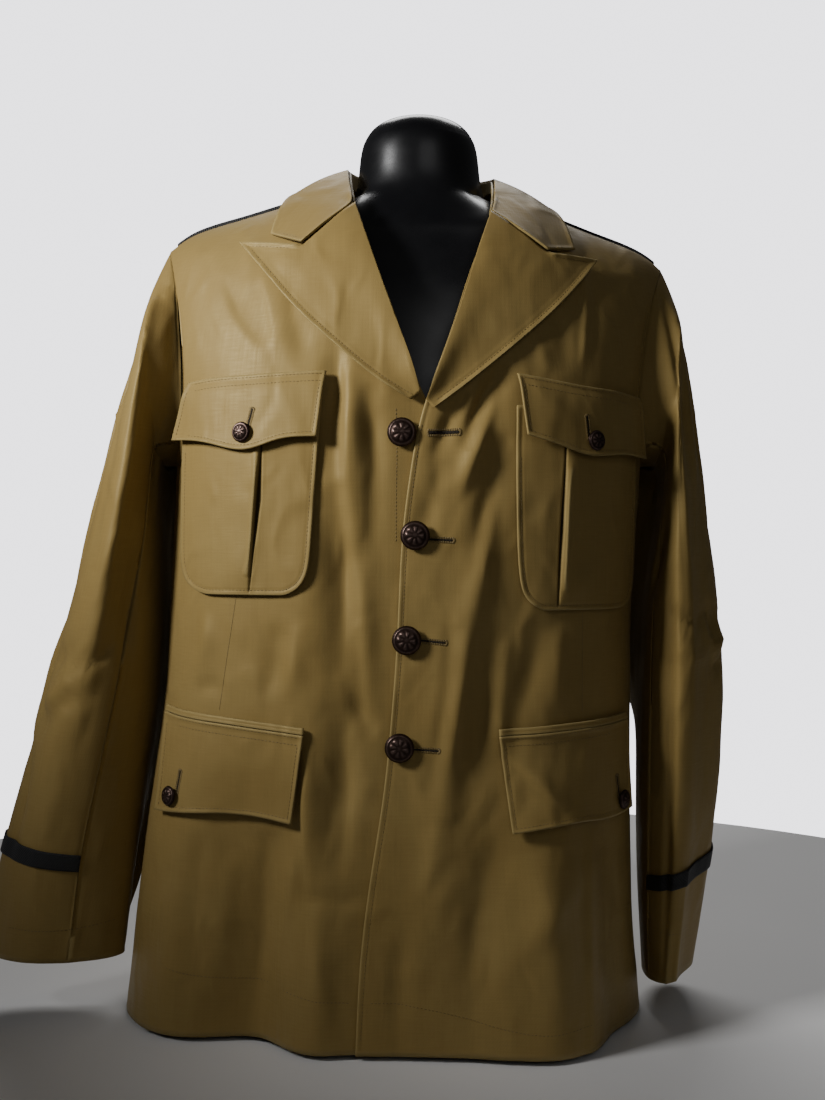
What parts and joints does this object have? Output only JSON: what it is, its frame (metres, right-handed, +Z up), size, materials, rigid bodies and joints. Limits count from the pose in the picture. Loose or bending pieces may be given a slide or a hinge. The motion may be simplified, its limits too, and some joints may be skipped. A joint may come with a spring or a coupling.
{
  "type": "four-pocket service jacket on a limbless dress form",
  "caption": "Khaki cotton service jacket with peaked lapels, flapped pockets, metal buttons and black sleeve braid, worn by a glossy black limbless dress form.",
  "frame": {"origin": "middle of the dress form's flat underside, on the surface that it stands on", "axes": "+Z up the form to its neck, -Y to the jacket's front, +X to the wearer's left"},
  "size_m": [0.6878, 0.3016, 0.829],
  "materials": {
    "khaki_twill": "matte cotton twill",
    "black_braid": "matte woven braid",
    "brown_button": "darkened bronze",
    "black_form": "gloss"
  },
  "bodies": {
    "root": {"front_right": "khaki_twill", "front_left": "khaki_twill", "back": "khaki_twill", "collar_leaf": "khaki_twill", "collar_stand": "khaki_twill", "top_sleeve_right": "khaki_twill", "under_sleeve_right": "khaki_twill", "lapel_right": "khaki_twill", "breast_pocket_right": "khaki_twill", "breast_flap_right": "khaki_twill", "lower_flap_right": "khaki_twill", "lower_welt_right": "khaki_twill", "top_sleeve_left": "khaki_twill", "under_sleeve_left": "khaki_twill", "lapel_left": "khaki_twill", "breast_pocket_left": "khaki_twill", "breast_flap_left": "khaki_twill", "lower_flap_left": "khaki_twill", "lower_welt_left": "khaki_twill", "cuff_braid_right": "black_braid", "cuff_braid_left": "black_braid", "shoulder_piping_right": "black_braid", "shoulder_piping_left": "black_braid", "front_button_1": "brown_button", "front_button_2": "brown_button", "front_button_3": "brown_button", "front_button_4": "brown_button", "breast_button_right": "brown_button", "breast_button_left": "brown_button", "lower_button_right": "brown_button", "lower_button_left": "brown_button", "dress_form": "black_form"}
  },
  "joints": []
}
